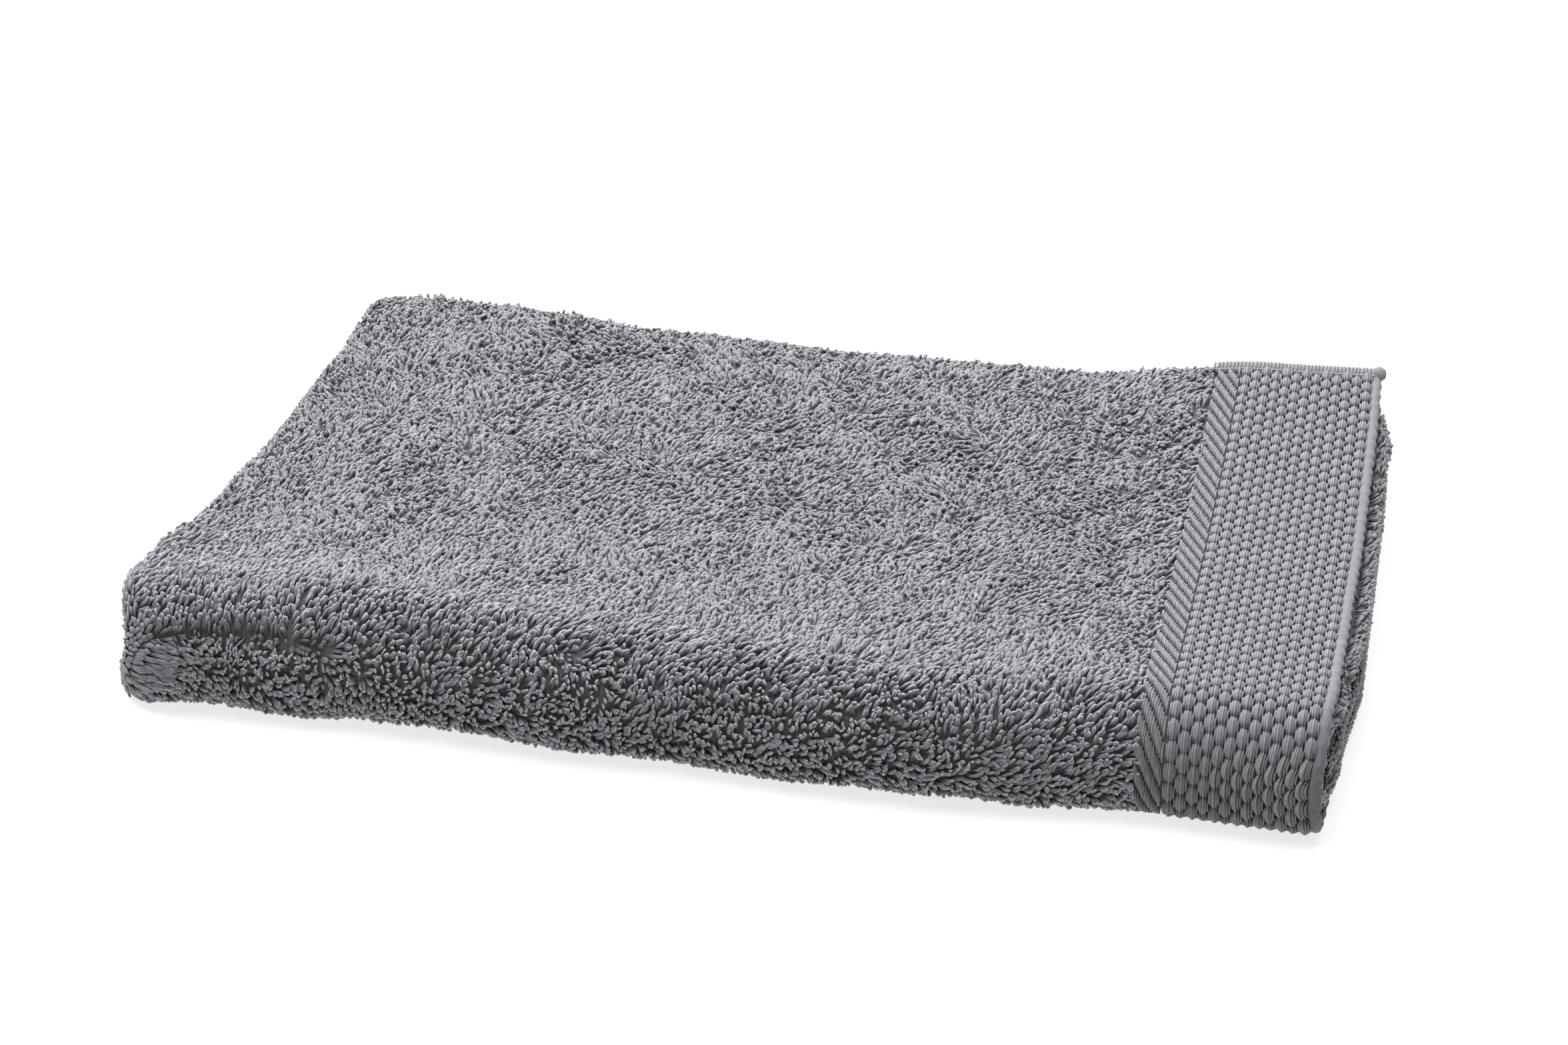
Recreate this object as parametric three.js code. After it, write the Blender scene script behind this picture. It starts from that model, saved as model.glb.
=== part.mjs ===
// Folded bath sheet: one terry cloth of 1.0 x 1.5 m, folded in three across its length and then in
// three across its width, so that nine layers lie on each other, a little apart.
// Millimetres, +Z up. The cloth rests on z = 0, its woven border is at +X, its big round fold at -Y.
import * as THREE from 'three';

// Driving dimensions
const FOLDED_LENGTH = 505;
const FOLDED_DEPTH = 333;      // before the front fold bulges
const LAYER_THICKNESS = 5.0;   // terry with loops on both faces
const LAYER_GAP = 0.7;         // between the three layers of the first folding
const BUNDLE_GAP = 1.0;        // between the three bundles of the second folding
const HEM_SETBACK = 8;         // the top layer's end hem stops this far short of the fold below it
const TUCKED_END = 14;         // the hidden end stops this far inside the left fold
const SELVAGE_SETBACK = 3;     // the top side hem stops this far short of the back fold
const LENGTH_STEP = 48;        // longest step between points of a level stretch, along the length
const DEPTH_STEP = 54;         // and along the depth
const SAG_POWER = 1.7;         // how steeply the stack rises from its middle to its edges
const FOLD_STEPS = { big: 8, tight: 6, bundle: 10 };
const KNOT_MARGIN = { bigFold: 12, tightFold: 6, pileEdge: 4 };   // level points keep this far off
const TUCKED_SHARE = 0.6;      // thickness of the tucked end, pressed flat, over the full one

// The ends of the cloth, measured from the end hem: how deep each face lies under the pile's face
const END_PROFILE = [
  { at: 0.0, upper: 1.2, lower: 3.4 },    // turned edge of the end hem
  { at: 1.2, upper: 0.2, lower: 4.3 },
  { at: 3.4, upper: 0.2, lower: 4.3 },    // end hem
  { at: 4.6, upper: 0.9, lower: 3.8 },    // honeycomb panel
  { at: 34.0, upper: 0.5, lower: 3.8 },
  { at: 63.5, upper: 0.6, lower: 3.8 },
  { at: 74.5, upper: 0.6, lower: 3.8 },   // ribbed band
  { at: 76.0, upper: 2.6, lower: 4.4 },   // groove beside the pile
  { at: 77.6, upper: 2.6, lower: 4.6 },
  { at: 79.0, upper: 0.0, lower: 5.0 },   // pile begins
];

// Height of the whole stack along its length: at the back edge, across the middle, at the front fold
const LOFT = [
  { x: -250, back: 57, middle: 52, front: 54 },
  { x: -190, back: 58.5, middle: 50, front: 54 },
  { x: -80, back: 49.5, middle: 46, front: 53 },
  { x: 10, back: 45, middle: 42, front: 51 },
  { x: 100, back: 45, middle: 41, front: 50 },
  { x: 195, back: 58, middle: 42, front: 50 },
  { x: 250, back: 59, middle: 43, front: 49 },
];

// Outline seen from above, along the depth: how far the left fold, the top layer's end hem and the
// right folds of the layers under it are drawn in
const ENDS = [
  { y: -166, left: 0, hem: 4, fold: 12 },
  { y: -120, left: 3, hem: 2, fold: 5 },
  { y: -60, left: 13, hem: 1, fold: 0 },
  { y: 10, left: 14, hem: 0, fold: 0 },
  { y: 110, left: 14, hem: 0, fold: 0 },
  { y: 166, left: 12, hem: 1, fold: 10 },
];
const CORNERS = [
  { end: -1, side: -1, radius: 25 },
  { end: -1, side: 1, radius: 18 },
  { end: 1, side: -1, radius: 6 },
  { end: 1, side: 1, radius: 3 },
];
const CORNER_REACH = 60;

// Outline along the length: how far the front fold bulges forward
const FRONT_EDGE = [
  { x: -250, forward: 1 },
  { x: -170, forward: 1 },
  { x: -30, forward: 8 },
  { x: 90, forward: 15 },
  { x: 165, forward: 9 },
  { x: 250, forward: 13 },
];

// The front fold has settled: its upper half leans back and its lower half is fuller
const FRONT_FOLD = { lean: 12, reach: 110, fullness: 3 };

const TOWEL_FINISH = { color: 0x8d8b91, roughness: 0.95, metalness: 0.0 };

// Sizes that follow
const LAYER_PITCH = LAYER_THICKNESS + LAYER_GAP;
const BUNDLE = 2 * LAYER_PITCH + LAYER_THICKNESS;
const STACK_HEIGHT = 3 * BUNDLE + 2 * BUNDLE_GAP;
const LEFT = -FOLDED_LENGTH / 2;
const RIGHT = FOLDED_LENGTH / 2;
const FRONT = -FOLDED_DEPTH / 2;
const BACK = FOLDED_DEPTH / 2;

// Values from start to end in equal steps no longer than the given one, both ends included
function spread(start, end, longest) {
  const count = Math.max(1, Math.ceil(Math.abs(end - start) / longest));
  return Array.from({ length: count + 1 }, (_, i) => start + ((end - start) * i) / count);
}

// Section of one bundle, as rungs across the cloth from its end hem to its tucked end: x runs along
// the towel, n through the layers from the inside of the second folding outwards. The outer layer
// runs to the big fold at the left, the inner layer back to the tight fold at the right, and the
// tucked layer lies between the two.
function bundleRungs() {
  const bigRadius = BUNDLE / 2;
  const tightRadius = (LAYER_PITCH + LAYER_THICKNESS) / 2;
  const bigCentre = LEFT + bigRadius;
  const tightCentre = RIGHT - tightRadius;
  const hemEnd = RIGHT - HEM_SETBACK;
  const pileEdge = hemEnd - END_PROFILE.at(-1).at;
  const tuckedEnd = LEFT + TUCKED_END;
  const pileKnots = spread(bigCentre + KNOT_MARGIN.bigFold, pileEdge - KNOT_MARGIN.pileEdge, LENGTH_STEP);
  const borderStart = pileEdge + KNOT_MARGIN.pileEdge;
  const borderKnots = spread(borderStart, tightCentre - KNOT_MARGIN.tightFold, LENGTH_STEP);
  const allKnots = [...pileKnots, ...borderKnots];
  const rungs = [];
  const addRung = (x, outer, inner) => {
    rungs.push({ outer: new THREE.Vector2(x, outer), inner: new THREE.Vector2(x, inner) });
  };
  const addFold = (centreX, radius, startDegrees, endDegrees, steps) => {
    for (let i = 0; i <= steps; i += 1) {
      const turn = THREE.MathUtils.degToRad(THREE.MathUtils.lerp(startDegrees, endDegrees, i / steps));
      const onCircle = (r) => new THREE.Vector2(centreX + r * Math.cos(turn), radius + r * Math.sin(turn));
      rungs.push({ outer: onCircle(radius), inner: onCircle(radius - LAYER_THICKNESS) });
    }
  };

  const tuckedMiddle = LAYER_PITCH + LAYER_THICKNESS / 2;
  const tuckedHalf = (TUCKED_SHARE * LAYER_THICKNESS) / 2;
  END_PROFILE.forEach((row) => addRung(hemEnd - row.at, BUNDLE - row.upper, BUNDLE - row.lower));
  [...pileKnots].reverse().forEach((x) => addRung(x, BUNDLE, BUNDLE - LAYER_THICKNESS));
  addFold(bigCentre, bigRadius, 90, 270, FOLD_STEPS.big);
  allKnots.forEach((x) => addRung(x, 0, LAYER_THICKNESS));
  addFold(tightCentre, tightRadius, -90, 90, FOLD_STEPS.tight);
  [...allKnots].reverse().forEach((x) => addRung(x, LAYER_PITCH + LAYER_THICKNESS, LAYER_PITCH));
  addRung(tuckedEnd, tuckedMiddle + tuckedHalf, tuckedMiddle - tuckedHalf);
  return rungs;
}

// Path of the bundle's inner face in the (y, z) plane, with the direction towards its outer face:
// the top stretch from the back to the front, the big round fold, the bottom stretch, the back fold
// and the middle stretch that ends inside the front fold.
function bundlePath() {
  const frontRadius = BUNDLE / 2 + BUNDLE_GAP;
  const backRadius = BUNDLE_GAP / 2;
  const frontCentre = { y: FRONT + BUNDLE + frontRadius, z: 1.5 * BUNDLE + BUNDLE_GAP };
  const backCentre = { y: BACK - BUNDLE - backRadius, z: BUNDLE + backRadius };
  const level = spread(backCentre.y, frontCentre.y, DEPTH_STEP);
  const stations = [];
  const straight = (ys, z, up) => ys.forEach((y) => stations.push({ y, z, ny: 0, nz: up }));
  const fold = (centre, radius, startDegrees, endDegrees) => {
    for (let i = 1; i < FOLD_STEPS.bundle; i += 1) {
      const turn = startDegrees + ((endDegrees - startDegrees) * i) / FOLD_STEPS.bundle;
      const ny = Math.cos(THREE.MathUtils.degToRad(turn));
      const nz = Math.sin(THREE.MathUtils.degToRad(turn));
      stations.push({ y: centre.y + radius * ny, z: centre.z + radius * nz, ny, nz });
    }
  };

  straight([BACK - SELVAGE_SETBACK, ...level], 2 * (BUNDLE + BUNDLE_GAP), 1);
  fold(frontCentre, frontRadius, 90, 270);
  straight([...level].reverse(), BUNDLE, -1);
  fold(backCentre, backRadius, -90, 90);
  straight(level, BUNDLE + BUNDLE_GAP, 1);
  return stations;
}

// Smooth interpolation between the rows of a table, which are sorted by the key
function lookUp(table, key, value, column) {
  const next = table.findIndex((row) => row[key] > value);
  if (next === 0) return table[0][column];
  if (next < 0) return table.at(-1)[column];
  const [low, high] = [table[next - 1], table[next]];
  const share = THREE.MathUtils.smoothstep(value, low[key], high[key]);
  return THREE.MathUtils.lerp(low[column], high[column], share);
}

// Real height over the nominal one at a place seen from above
function heightShare(x, y) {
  const across = THREE.MathUtils.clamp((2 * y) / FOLDED_DEPTH, -1, 1);
  const middle = lookUp(LOFT, 'x', x, 'middle');
  const edge = lookUp(LOFT, 'x', x, across < 0 ? 'front' : 'back');
  return (middle + (edge - middle) * Math.abs(across) ** SAG_POWER) / STACK_HEIGHT;
}

// The lower half of the round fold, seen from the end, is drawn out from a circle to a fuller curve
function settleFold(y, z, centreY, centreZ, radius) {
  const dy = (y - centreY) / radius;
  const dz = (z - centreZ) / radius;
  if (dy >= 0 || dz >= 0) return { y, z };
  const { fullness } = FRONT_FOLD;
  const reach = Math.hypot(dy, dz);
  const corner = (Math.abs(dy / reach) ** fullness + Math.abs(dz / reach) ** fullness) ** (-1 / fullness);
  const growth = THREE.MathUtils.lerp(1, corner, Math.min(1, reach));
  return { y: centreY + radius * dy * growth, z: centreZ + radius * dz * growth };
}

// How far a place seen from above is drawn in along the length, so that the outline is as it lies
function endShift(x, y, isOuterLayer) {
  const end = Math.sign(x);
  const share = (Math.abs(x) - (FOLDED_LENGTH / 2 - CORNER_REACH)) / CORNER_REACH;
  if (share <= 0) return 0;
  const rightEdge = isOuterLayer ? 'hem' : 'fold';
  let drawnIn = lookUp(ENDS, 'y', y, end < 0 ? 'left' : rightEdge);
  for (const corner of CORNERS.filter((row) => row.end === end)) {
    const intoCorner = Math.max(0, corner.radius - (FOLDED_DEPTH / 2 - corner.side * y));
    drawnIn += corner.radius - Math.sqrt(Math.max(0, corner.radius ** 2 - intoCorner ** 2));
  }
  return -end * drawnIn * Math.min(1, share);
}

// A point of the neatly folded stack moved to where it lies on the settled one
function settle(x, nominalY, nominalZ, isOuterLayer) {
  const radius = STACK_HEIGHT / 2;
  const { y, z } = settleFold(nominalY, nominalZ, FRONT + radius, radius, radius);
  const frontShare = 1 - THREE.MathUtils.smoothstep(y, FRONT, FRONT + FRONT_FOLD.reach);
  const lean = FRONT_FOLD.lean * (z / STACK_HEIGHT) - lookUp(FRONT_EDGE, 'x', x, 'forward');
  return [x + endShift(x, y, isOuterLayer), y + lean * frontShare, Math.max(0, z * heightShare(x, y))];
}

// The folded cloth as one closed body: the section carried along the path and closed at both side hems
function foldedCloth() {
  const rungs = bundleRungs();
  const section = [...rungs.map((rung) => rung.inner), ...rungs.map((rung) => rung.outer).reverse()];
  const count = section.length;
  const path = bundlePath();
  const outerLayer = BUNDLE - LAYER_THICKNESS - LAYER_GAP / 2;
  const positions = [];
  for (const { y, z, ny, nz } of path) {
    for (const { x, y: n } of section) {
      positions.push(...settle(x, y + n * ny, z + n * nz, n > outerLayer));
    }
  }

  const faces = [];
  const addQuad = (a, b, c, d) => faces.push(a, b, c, a, c, d);
  for (let k = 0; k < path.length - 1; k += 1) {
    for (let i = 0; i < count; i += 1) {
      const here = k * count + i;
      const next = k * count + ((i + 1) % count);
      addQuad(next, here, here + count, next + count);
    }
  }
  const lastRing = (path.length - 1) * count;
  for (let i = 0; i < rungs.length - 1; i += 1) {
    const [a, b, c, d] = [i, i + 1, count - 2 - i, count - 1 - i];
    addQuad(a, b, c, d);
    addQuad(lastRing + d, lastRing + c, lastRing + b, lastRing + a);
  }

  const geometry = new THREE.BufferGeometry();
  geometry.setAttribute('position', new THREE.Float32BufferAttribute(positions, 3));
  geometry.setIndex(faces);
  geometry.computeBoundingBox();
  const centre = geometry.boundingBox.getCenter(new THREE.Vector3());
  geometry.translate(-centre.x, -centre.y, 0);
  geometry.computeVertexNormals();
  return geometry;
}

const towel = new THREE.Mesh(foldedCloth(), new THREE.MeshStandardMaterial(TOWEL_FINISH));
towel.name = 'towel';

const model = new THREE.Group();
model.add(towel);

export default model;
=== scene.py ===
import math
import bmesh
import bpy
import numpy as np
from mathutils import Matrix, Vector


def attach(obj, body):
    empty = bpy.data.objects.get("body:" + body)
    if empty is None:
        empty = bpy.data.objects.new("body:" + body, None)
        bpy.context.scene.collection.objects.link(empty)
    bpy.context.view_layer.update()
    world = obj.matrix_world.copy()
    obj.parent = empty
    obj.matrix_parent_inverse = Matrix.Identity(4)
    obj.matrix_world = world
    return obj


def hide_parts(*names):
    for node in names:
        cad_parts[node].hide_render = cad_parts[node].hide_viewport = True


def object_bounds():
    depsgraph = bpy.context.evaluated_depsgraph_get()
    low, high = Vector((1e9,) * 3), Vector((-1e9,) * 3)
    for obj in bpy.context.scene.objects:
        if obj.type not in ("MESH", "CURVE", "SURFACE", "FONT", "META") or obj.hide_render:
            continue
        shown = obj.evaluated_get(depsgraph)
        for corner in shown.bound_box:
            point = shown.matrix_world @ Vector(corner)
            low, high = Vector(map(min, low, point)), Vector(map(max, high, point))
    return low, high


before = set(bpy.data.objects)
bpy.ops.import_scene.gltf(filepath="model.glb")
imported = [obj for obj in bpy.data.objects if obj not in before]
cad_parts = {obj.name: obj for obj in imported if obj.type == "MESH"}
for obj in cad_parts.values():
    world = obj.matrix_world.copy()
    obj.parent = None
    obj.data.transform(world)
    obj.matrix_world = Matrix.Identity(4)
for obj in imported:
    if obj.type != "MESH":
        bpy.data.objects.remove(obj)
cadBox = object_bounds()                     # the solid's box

# A folded terry bath sheet. Every piece is laid out flat on the cloth first, as (s, t, h): s runs along
# the cloth from its end hem, t across it from its side hem, h is the height over the pile's face.
# foldCloth then folds it in three twice, by the sizes of the solid, in metres.

foldSizes = {
    "length": 0.505, "depth": 0.333, "layer": 0.005, "layerGap": 0.0007, "bundleGap": 0.001,
    "hemSetback": 0.008, "tuckedEnd": 0.014, "selvageSetback": 0.003, "sagPower": 1.7,
    "lean": 0.012, "leanReach": 0.110, "fullness": 3.0, "cornerReach": 0.060, "floorGap": 0.0003,
}
# columns: at, upper, lower - how deep the faces of the cloth's end lie under the pile's face
endProfile = np.array([
    [0.0, 1.2, 3.4], [1.2, 0.2, 4.3], [3.4, 0.2, 4.3], [4.6, 0.9, 3.8], [34.0, 0.5, 3.8],
    [63.5, 0.6, 3.8], [74.5, 0.6, 3.8], [76.0, 2.6, 4.4], [77.6, 2.6, 4.6], [79.0, 0.0, 5.0]]) / 1000
# columns: x, back, middle, front - height of the stack
loft = np.array([
    [-250, 57, 52, 54], [-190, 58.5, 50, 54], [-80, 51, 46, 53], [10, 47, 42, 51],
    [100, 46.5, 41, 50], [195, 58, 42, 50], [250, 59, 43, 49]]) / 1000
# columns: y, left, hem, fold - how far the ends are drawn in
ends = np.array([
    [-166, 0, 4, 12], [-120, 3, 2, 5], [-60, 13, 1, 0], [10, 14, 0, 0], [110, 14, 0, 0],
    [166, 12, 1, 10]]) / 1000
# columns: end, side, radius of the corner seen from above
corners = [(-1, -1, 0.025), (-1, 1, 0.018), (1, -1, 0.006), (1, 1, 0.003)]
# columns: x, forward - how far the round fold bulges
frontEdge = np.array([[-250, 1], [-170, 1], [-30, 8], [90, 15], [165, 9], [250, 13]]) / 1000

layerPitch = foldSizes["layer"] + foldSizes["layerGap"]
bundle = 2 * layerPitch + foldSizes["layer"]
stackHeight = 3 * bundle + 2 * foldSizes["bundleGap"]
left, right = -foldSizes["length"] / 2, foldSizes["length"] / 2
front, back = -foldSizes["depth"] / 2, foldSizes["depth"] / 2
bigRadius = bundle / 2
tightRadius = (layerPitch + foldSizes["layer"]) / 2
bigCentre = left + bigRadius
tightCentre = right - tightRadius
hemEnd = right - foldSizes["hemSetback"]
tuckedEnd = left + foldSizes["tuckedEnd"]
borderWidth = endProfile[-1, 0]
frontRadius = bundle / 2 + foldSizes["bundleGap"]
backRadius = foldSizes["bundleGap"] / 2
frontCentre = (front + bundle + frontRadius, 1.5 * bundle + foldSizes["bundleGap"])
backCentre = (back - bundle - backRadius, bundle + backRadius)
# where the stretches of the cloth start: along s the outer layer, big fold, inner layer, tight fold and
# tucked layer; along t the top, round front fold, underside, back fold and middle
sStart = np.cumsum([0.0, hemEnd - bigCentre, math.pi * bigRadius, tightCentre - bigCentre,
                    math.pi * tightRadius, tightCentre - tuckedEnd])
tStart = np.cumsum([0.0, back - foldSizes["selvageSetback"] - frontCentre[0],
                    math.pi * (frontRadius + bundle), backCentre[0] - frontCentre[0],
                    math.pi * (backRadius + bundle), backCentre[0] - frontCentre[0]])
centreShift = cadBox[1][1] - back        # the solid was centred in its box


def lookUp(value, table, column):
    keys = table[:, 0]
    value = np.clip(value, keys[0], keys[-1])
    row = np.clip(np.searchsorted(keys, value, side="right") - 1, 0, len(keys) - 2)
    share = (value - keys[row]) / (keys[row + 1] - keys[row])
    share = share * share * (3 - 2 * share)
    return table[row, column] + (table[row + 1, column] - table[row, column]) * share


def smoothShare(value, low, high):
    share = np.clip((value - low) / (high - low), 0, 1)
    return share * share * (3 - 2 * share)


noiseGrid = {"cells": 256, "shiftU": 31.7, "shiftV": 17.3}


def noiseField(u, v, size, seed):
    # smooth random values from -1 to 1 that change over about the given size
    cells = noiseGrid["cells"]
    grid = np.random.default_rng(seed).uniform(-1, 1, (cells + 1, cells + 1))
    u = np.asarray(u) / size + noiseGrid["shiftU"]
    v = np.asarray(v) / size + noiseGrid["shiftV"]
    column = np.floor(u).astype(int)
    row = np.floor(v).astype(int)
    a = u - column
    b = v - row
    a = a * a * (3 - 2 * a)
    b = b * b * (3 - 2 * b)
    column = column % cells
    row = row % cells
    low = grid[row, column] * (1 - a) + grid[row, column + 1] * a
    high = grid[row + 1, column] * (1 - a) + grid[row + 1, column + 1] * a
    return low * (1 - b) + high * b


def sectionPoint(s, h):
    # place in the section of one bundle: x along the towel, n through its three layers
    turnBig = math.pi / 2 + (s - sStart[1]) / bigRadius
    turnTight = -math.pi / 2 + (s - sStart[3]) / tightRadius
    stretch = [s < sStart[1], s < sStart[2], s < sStart[3], s < sStart[4]]
    x = np.select(stretch, [
        hemEnd - s, bigCentre + (bigRadius + h) * np.cos(turnBig), bigCentre + s - sStart[2],
        tightCentre + (tightRadius + h) * np.cos(turnTight)], tightCentre - (s - sStart[4]))
    n = np.select(stretch, [
        bundle + h, bigRadius + (bigRadius + h) * np.sin(turnBig), -h,
        tightRadius + (tightRadius + h) * np.sin(turnTight)], 2 * tightRadius + h)
    return x, n


def pathPoint(t):
    # the bundle's inner face in the (y, z) plane and its direction outwards
    turnFront = math.pi / 2 + (t - tStart[1]) / (frontRadius + bundle)
    turnBack = -math.pi / 2 + (t - tStart[3]) / (backRadius + bundle)
    stretch = [t < tStart[1], t < tStart[2], t < tStart[3], t < tStart[4]]
    flat = np.zeros_like(t)
    ny = np.select(stretch, [flat, np.cos(turnFront), flat, np.cos(turnBack)], flat)
    nz = np.select(stretch, [flat + 1, np.sin(turnFront), flat - 1, np.sin(turnBack)], flat + 1)
    y = np.select(stretch, [
        back - foldSizes["selvageSetback"] - t, frontCentre[0] + frontRadius * ny,
        frontCentre[0] + t - tStart[2], backCentre[0] + backRadius * ny], backCentre[0] - (t - tStart[4]))
    z = np.select(stretch, [
        flat + 2 * (bundle + foldSizes["bundleGap"]), frontCentre[1] + frontRadius * nz,
        flat + bundle, backCentre[1] + backRadius * nz], flat + bundle + foldSizes["bundleGap"])
    return y, z, ny, nz


def settleStack(x, y, z, isOuter):
    # the neat stack settles: fuller front fold, bulge, sag, ends drawn in, corners rounded
    radius = stackHeight / 2
    dy = (y - front - radius) / radius
    dz = (z - radius) / radius
    reach = np.maximum(np.hypot(dy, dz), 1e-9)         # never zero, as it divides
    power = foldSizes["fullness"]
    corner = (np.abs(dy / reach) ** power + np.abs(dz / reach) ** power) ** (-1 / power)
    growth = np.where((dy < 0) & (dz < 0), 1 + (corner - 1) * np.minimum(1, reach), 1)
    y = front + radius + radius * dy * growth
    z = radius + radius * dz * growth
    across = np.clip(2 * y / foldSizes["depth"], -1, 1)
    middle = lookUp(x, loft, 2)
    edge = np.where(across < 0, lookUp(x, loft, 3), lookUp(x, loft, 1))
    height = (middle + (edge - middle) * np.abs(across) ** foldSizes["sagPower"]) / stackHeight
    drawnIn = np.where(x < 0, lookUp(y, ends, 1), np.where(isOuter, lookUp(y, ends, 2), lookUp(y, ends, 3)))
    for end, side, radiusIn in corners:
        into = np.clip(radiusIn - (foldSizes["depth"] / 2 - side * y), 0, radiusIn)
        arc = radiusIn - np.sqrt(radiusIn ** 2 - into ** 2)
        drawnIn = drawnIn + np.where(np.sign(x) == end, arc, 0)
    reachIn = foldSizes["cornerReach"]
    share = np.clip((np.abs(x) - (foldSizes["length"] / 2 - reachIn)) / reachIn, 0, 1)
    frontShare = 1 - smoothShare(y, front, front + foldSizes["leanReach"])
    lean = foldSizes["lean"] * (z / stackHeight) - lookUp(x, frontEdge, 1)
    newX = x - np.sign(x) * drawnIn * share
    return newX, y + lean * frontShare + centreShift, np.maximum(foldSizes["floorGap"], z * height)


reliefSizes = {
    "broad": (0.034, 0.0011), "small": (0.013, 0.0005), "partingDepth": 0.0014, "partingWidth": 0.0045,
    "pinchDepth": 0.0018, "pinchWidth": 0.008, "borderFade": (-0.002, 0.012), "underFade": 0.015,
    "leftFade": 0.02,
}
# soft creases of the pile on the front and top: from s, t, to s, t, strength
partings = [
    (0.4915, 0.341, 0.459, 0.3365, 1.0), (0.459, 0.3365, 0.437, 0.3345, 1.1),
    (0.437, 0.3345, 0.405, 0.3375, 1.2), (0.372, 0.326, 0.352, 0.331, 0.6),
    (0.246, 0.3405, 0.212, 0.340, 0.5), (0.178, 0.338, 0.120, 0.3405, 0.45)]
# gathered spots that the loops spread away from: s, t, strength
pinches = [
    (0.405, 0.338, 1.0), (0.4055, 0.349, 0.6), (0.299, 0.3245, 1.0), (0.198, 0.3025, 0.6),
    (0.101, 0.3195, 0.5), (0.492, 0.329, 0.7), (0.356, 0.2935, 0.5), (0.262, 0.357, 0.4)]


def creaseAway(s, t, crease):
    # from the nearest point of a crease to each (s, t)
    startS, startT, endS, endT = crease[:4]
    along = np.array([endS - startS, endT - startT])
    share = np.clip(((s - startS) * along[0] + (t - startT) * along[1]) / (along @ along), 0, 1)
    return np.stack([s - startS - share * along[0], t - startT - share * along[1]])


def pileRelief(s, t):
    # gentle unevenness of the pile: broad swells, small ones, and the listed creases
    size, height = reliefSizes["broad"]
    relief = height * noiseField(s, t, size, 11)
    size, height = reliefSizes["small"]
    relief = relief + height * noiseField(s, t, size, 12)
    for crease in partings:
        away = np.hypot(*creaseAway(s, t, crease))
        depth = crease[4] * reliefSizes["partingDepth"]
        relief = relief - depth * np.exp(-(away / reliefSizes["partingWidth"]) ** 2)
    for atS, atT, strength in pinches:
        away = np.hypot(s - atS, t - atT)
        depth = strength * reliefSizes["pinchDepth"]
        relief = relief - depth * np.exp(-(away / reliefSizes["pinchWidth"]) ** 2)
    low, high = reliefSizes["borderFade"]
    onPile = smoothShare(s, borderWidth + low, borderWidth + high)
    shown = 1 - smoothShare(t, tStart[2], tStart[2] + reliefSizes["underFade"])
    return relief * onPile * shown * (1 - smoothShare(s, sStart[2], sStart[2] + reliefSizes["leftFade"]))


def foldCloth(points):
    # flat cloth coordinates (s, t, h) to the folded towel, in metres
    s, t, h = points[:, 0], points[:, 1], points[:, 2]
    x, n = sectionPoint(s, h + pileRelief(s, t))
    y, z, ny, nz = pathPoint(t)
    isOuter = s < sStart[1]
    return np.stack(settleStack(x, y + n * ny, z + n * nz, isOuter), axis=1)


def joinMesh(name, points, faces, uv, material):
    # one smooth mesh from arrays of points, faces and the values of its "cloth" map
    mesh = bpy.data.meshes.new(name)
    mesh.vertices.add(len(points))
    mesh.vertices.foreach_set("co", np.asarray(points, np.float32).ravel())
    mesh.loops.add(faces.size)
    mesh.loops.foreach_set("vertex_index", faces.astype(np.int32).ravel())
    mesh.polygons.add(len(faces))
    width = faces.shape[1]
    mesh.polygons.foreach_set("loop_start", np.arange(0, faces.size, width, dtype=np.int32))
    mesh.polygons.foreach_set("loop_total", np.full(len(faces), width, np.int32))
    mesh.polygons.foreach_set("use_smooth", np.ones(len(faces), bool))
    layer = mesh.uv_layers.new(name="cloth")
    layer.data.foreach_set("uv", np.asarray(uv, np.float32)[faces.ravel()].ravel())
    mesh.update()
    mesh.validate()
    piece = bpy.data.objects.new(name, mesh)
    bpy.context.scene.collection.objects.link(piece)
    mesh.materials.append(material)
    return piece


def meshArrays(bm):
    # the points and faces of a bmesh, which is freed
    bm.verts.ensure_lookup_table()
    bm.verts.index_update()
    points = np.array([v.co for v in bm.verts])
    faces = np.array([[v.index for v in f.verts] for f in bm.faces])
    bm.free()
    return points, faces


def doubleGrid(columns, rows):
    # a flat grid doubled into two layers that join at the rim: each point's column, row and layer
    bm = bmesh.new()
    bmesh.ops.create_grid(bm, x_segments=columns - 1, y_segments=rows - 1, size=1)
    for vert in bm.verts:
        vert.co.x = round((vert.co.x + 1) / 2 * (columns - 1))
        vert.co.y = round((vert.co.y + 1) / 2 * (rows - 1))
    bmesh.ops.solidify(bm, geom=bm.faces[:], thickness=-1)
    bmesh.ops.recalc_face_normals(bm, faces=bm.faces[:])
    points, faces = meshArrays(bm)
    place = np.rint(points[:, :2]).astype(int)
    return place[:, 0], place[:, 1], points[:, 2] > points[:, 2].mean(), faces


# finishes: dyed cotton with painted shade and highlight for the pile, the ground weave under it in painted
# shade, and the border's yarns
def newMaterial(name):
    material = bpy.data.materials.new(name)
    material.use_nodes = True
    tree = material.node_tree
    return material, tree.nodes, tree.links, tree.nodes["Principled BSDF"]


def setInputs(node, values):
    for name, value in values.items():
        node.inputs[name].default_value = value


def addNoise(nodes, links, scale, detail):
    place = nodes.new("ShaderNodeTexCoord")
    noise = nodes.new("ShaderNodeTexNoise")
    setInputs(noise, {"Scale": scale, "Detail": detail})
    links.new(place.outputs["Object"], noise.inputs["Vector"])
    return noise


def addRamp(nodes, stops):
    # colours given as (position, colour), from the lowest to the highest
    ramp = nodes.new("ShaderNodeValToRGB")
    elements = ramp.color_ramp.elements
    elements[0].position, elements[0].color = stops[0]
    elements[1].position, elements[1].color = stops[-1]
    for position, colour in stops[1:-1]:
        elements.new(position).color = colour
    return ramp


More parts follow.
